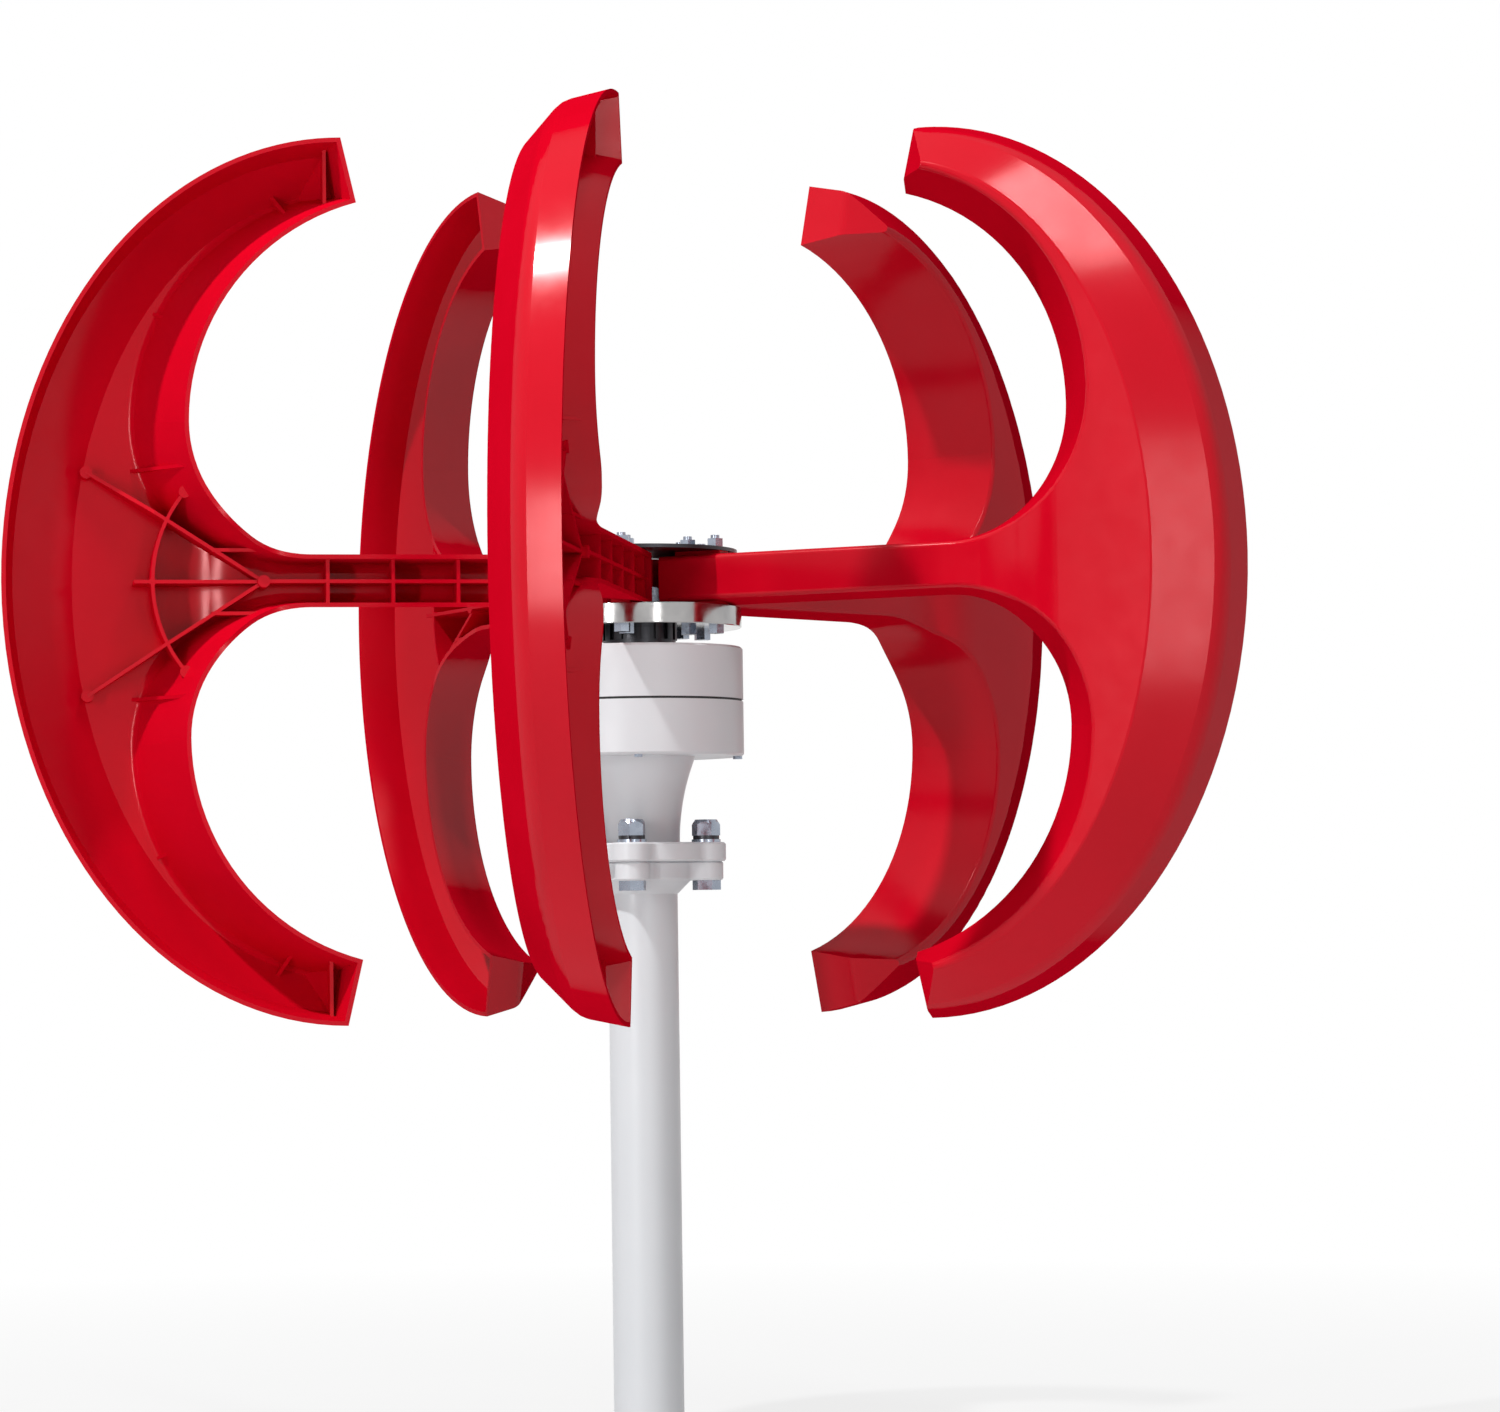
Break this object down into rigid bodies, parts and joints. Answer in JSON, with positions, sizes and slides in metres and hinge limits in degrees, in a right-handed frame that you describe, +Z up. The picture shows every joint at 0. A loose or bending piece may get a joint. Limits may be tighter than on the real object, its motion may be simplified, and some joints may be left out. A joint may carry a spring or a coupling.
{
  "type": "vertical axis wind turbine",
  "caption": "Vertical axis wind turbine with ribbed red crescent blades on a hub, a white ring generator below it and a flanged mast stub.",
  "frame": {"origin": "centre of the open lower end of the mast tube", "axes": "+Z up along the rotor axis; the picture looks along +Y with +X to the right"},
  "size_m": [0.8236, 0.8111, 0.941],
  "materials": {
    "red_plastic": "gloss moulded",
    "dark_steel": "black oxide",
    "bare_aluminium": "turned, polished rim",
    "zinc_steel": "zinc plated",
    "ground_steel": "ground",
    "magnet_nickel": "nickel plated",
    "core_steel": "laminated, varnished",
    "copper_wire": "enamelled copper",
    "white_paint": "powder coat, satin",
    "black_rubber": "matte"
  },
  "bodies": {
    "stator": {"upper_bearing_outer_ring": "ground_steel", "lower_bearing_outer_ring": "ground_steel", "upper_case": "white_paint", "lower_case": "white_paint", "case_gasket": "black_rubber", "case_screws": "zinc_steel", "shaft_seal": "black_rubber", "stator_core": "core_steel", "stator_coils": "copper_wire", "cable_grommet": "black_rubber", "flange_bolts": "zinc_steel", "flange_washers": "zinc_steel", "flange_spring_washers": "dark_steel", "flange_lock_nuts": "zinc_steel", "mast_flange": "white_paint", "mast_tube": "white_paint"},
    "rotor": {"blade_1": "red_plastic", "blade_2": "red_plastic", "blade_3": "red_plastic", "blade_4": "red_plastic", "blade_5": "red_plastic", "hub_top_plate": "dark_steel", "hub_disc": "bare_aluminium", "hub_bolts": "zinc_steel", "hub_nuts": "zinc_steel", "shaft": "ground_steel", "hub_key": "ground_steel", "rotor_key": "ground_steel", "shaft_washer": "zinc_steel", "shaft_nut": "zinc_steel", "slotted_locknut": "dark_steel", "flinger_ring": "dark_steel", "magnet_yoke": "ground_steel", "magnets": "magnet_nickel", "rotor_circlip": "dark_steel", "upper_bearing_inner_ring": "ground_steel", "upper_bearing_rollers": "ground_steel", "lower_bearing_inner_ring": "ground_steel", "lower_bearing_rollers": "ground_steel"}
  },
  "joints": [
    {"name": "rotor_spin", "type": "hinge", "parent": "stator", "child": "rotor", "pos_m": [0, 0, 0.64], "axis": [0, 0, 1], "continuous": true}
  ]
}
